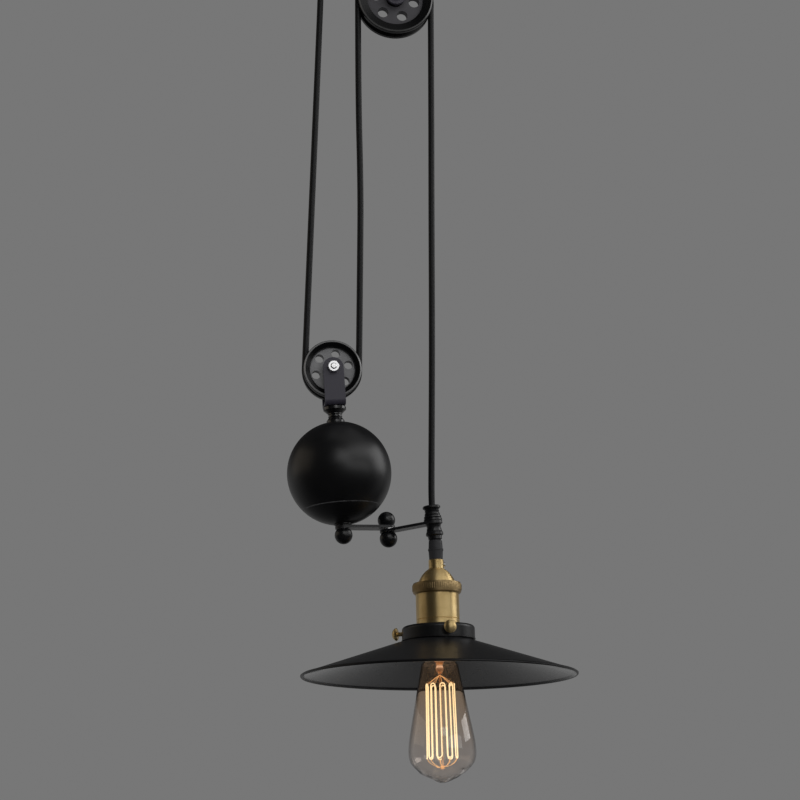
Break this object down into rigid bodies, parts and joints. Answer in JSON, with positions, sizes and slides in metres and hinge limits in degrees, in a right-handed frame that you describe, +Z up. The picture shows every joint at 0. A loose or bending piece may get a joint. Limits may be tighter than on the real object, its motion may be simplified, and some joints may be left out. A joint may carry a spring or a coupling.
{
  "type": "rise and fall pendant",
  "caption": "Rise-and-fall pendant: flex over a fixed wheel and a ball weight's wheel, hinged bars with a guide sleeve, brass lampholder, shallow shade and filament bulb.",
  "frame": {"origin": "centre of the ceiling cover, on the ceiling plane, midway between the two ceiling screws", "axes": "+Z up into the ceiling, X in the plane of both wheels with the flex outlet at -X and the fixed wheel at +X, -Y towards the viewer"},
  "size_m": [0.2804, 0.261, 0.8798],
  "materials": {
    "zinc_steel": "satin",
    "satin_black_steel": "satin",
    "gloss_black_steel": "gloss",
    "shade_black": "satin",
    "slate_steel": "satin",
    "black_cast_iron": "satin",
    "grey_cast_iron": "rough",
    "bright_steel": "polished",
    "bearing_brass": "polished",
    "antique_brass": "polished",
    "dark_brass": "satin",
    "black_plastic": "matte",
    "grip_plastic": "matte",
    "black_flex": "satin",
    "white_ceramic": "gloss",
    "black_glass": "gloss",
    "amber_glass": "clear",
    "clear_glass": "clear",
    "glowing_wire": "glowing",
    "support_wire": "satin"
  },
  "bodies": {
    "root": {"ceiling_bracket": "zinc_steel", "canopy_cover": "satin_black_steel", "terminal_block": "black_plastic", "hanger_spacer": "zinc_steel", "hanger_rod": "zinc_steel", "hanger_nut": "zinc_steel", "hanger_neck": "satin_black_steel", "cord_gland": "black_plastic", "gland_locknut": "zinc_steel", "upper_fork": "slate_steel", "upper_axle_bolt": "bright_steel", "upper_axle_nut": "bright_steel", "upper_bush": "bearing_brass", "cord_left_run": "black_flex", "cord_middle_run": "black_flex", "cord_upper_wrap": "black_flex", "cord_lamp_run": "black_flex"},
    "upper_wheel": {"upper_pulley": "black_cast_iron"},
    "weight": {"lower_fork": "slate_steel", "lower_axle_bolt": "bright_steel", "lower_axle_nut": "bright_steel", "lower_bush": "bearing_brass", "weight_neck": "satin_black_steel", "ball_upper_shell": "gloss_black_steel", "ball_bottom_cap": "gloss_black_steel", "ballast": "grey_cast_iron", "weight_boss": "gloss_black_steel", "weight_rod": "zinc_steel", "bottom_knob": "gloss_black_steel", "cord_lower_wrap": "black_flex"},
    "lower_wheel": {"lower_pulley": "black_cast_iron"},
    "inner_arm": {"inner_bar": "gloss_black_steel", "elbow_upper_knob": "gloss_black_steel", "elbow_lower_knob": "gloss_black_steel", "elbow_pin": "bright_steel", "elbow_washer": "bright_steel"},
    "outer_arm": {"outer_bar": "gloss_black_steel", "guide_sleeve": "gloss_black_steel", "sleeve_nut": "gloss_black_steel"},
    "lamp": {"cord_grip": "grip_plastic", "holder_cap": "antique_brass", "neck_grub_screw": "zinc_steel", "knurled_ring": "dark_brass", "holder_shell": "antique_brass", "socket_insulator": "white_ceramic", "socket_screw_shell": "zinc_steel", "centre_contact": "bearing_brass", "shade_clamp_ring": "satin_black_steel", "fitter_cup": "satin_black_steel", "shade": "shade_black"},
    "screw_front": {"thumbscrew_front": "antique_brass"},
    "screw_right": {"thumbscrew_right": "antique_brass"},
    "screw_left": {"thumbscrew_left": "antique_brass"},
    "bulb": {"bulb_tip_contact": "bearing_brass", "bulb_insulator": "black_glass", "bulb_cap": "antique_brass", "bulb_glass": "amber_glass", "bulb_stem": "clear_glass", "bulb_filament": "glowing_wire", "filament_supports": "support_wire"}
  },
  "joints": [
    {"name": "weight_slide", "type": "slide", "parent": "root", "child": "weight", "axis": [0, 0, 1], "range_m": [0, 0.29], "deforming": ["cord_left_run", "cord_middle_run"]},
    {"name": "lamp_slide", "type": "slide", "parent": "root", "child": "lamp", "axis": [0, 0, 1], "range_m": [-0.58, 0], "deforming": ["cord_lamp_run"]},
    {"name": "upper_wheel_turn", "type": "hinge", "parent": "root", "child": "upper_wheel", "pos_m": [0.0375, 0, -0.093], "axis": [0, 1, 0], "continuous": true},
    {"name": "lower_wheel_turn", "type": "hinge", "parent": "weight", "child": "lower_wheel", "pos_m": [-0.0236, 0, -0.4877], "axis": [0, 1, 0], "continuous": true},
    {"name": "arm_shoulder", "type": "hinge", "parent": "weight", "child": "inner_arm", "pos_m": [-0.01187, 0, -0.64017], "axis": [-0.0767, 0, 0.9971], "range_deg": [-0.9, 0.9]},
    {"name": "arm_elbow", "type": "hinge", "parent": "inner_arm", "child": "outer_arm", "pos_m": [0.03393, 0.02471, -0.63839], "axis": [-0.1149, 0, 0.9934], "range_deg": [-1.9, 1.9]},
    {"name": "thumbscrew_front_turn", "type": "hinge", "parent": "lamp", "child": "screw_front", "pos_m": [0.07936, 0, -0.73951], "axis": [0.1218, -0.9925, 0.0034], "continuous": true},
    {"name": "thumbscrew_right_turn", "type": "hinge", "parent": "lamp", "child": "screw_right", "pos_m": [0.07936, 0, -0.73951], "axis": [0.7983, 0.6018, 0.0223], "continuous": true},
    {"name": "thumbscrew_left_turn", "type": "hinge", "parent": "lamp", "child": "screw_left", "pos_m": [0.07936, 0, -0.73951], "axis": [-0.9201, 0.3907, -0.0257], "continuous": true},
    {"name": "bulb_turn", "type": "hinge", "parent": "lamp", "child": "bulb", "pos_m": [0.07934, 0, -0.73881], "axis": [-0.0279, 0, 0.9996], "continuous": true}
  ],
  "couplings": [
    {"joint": "lamp_slide", "follows": "weight_slide", "ratio": -2},
    {"joint": "upper_wheel_turn", "follows": "weight_slide", "rad_per_m": 53.333},
    {"joint": "lower_wheel_turn", "follows": "weight_slide", "rad_per_m": -38.023},
    {"joint": "arm_elbow", "follows": "arm_shoulder", "ratio": -2.112}
  ]
}
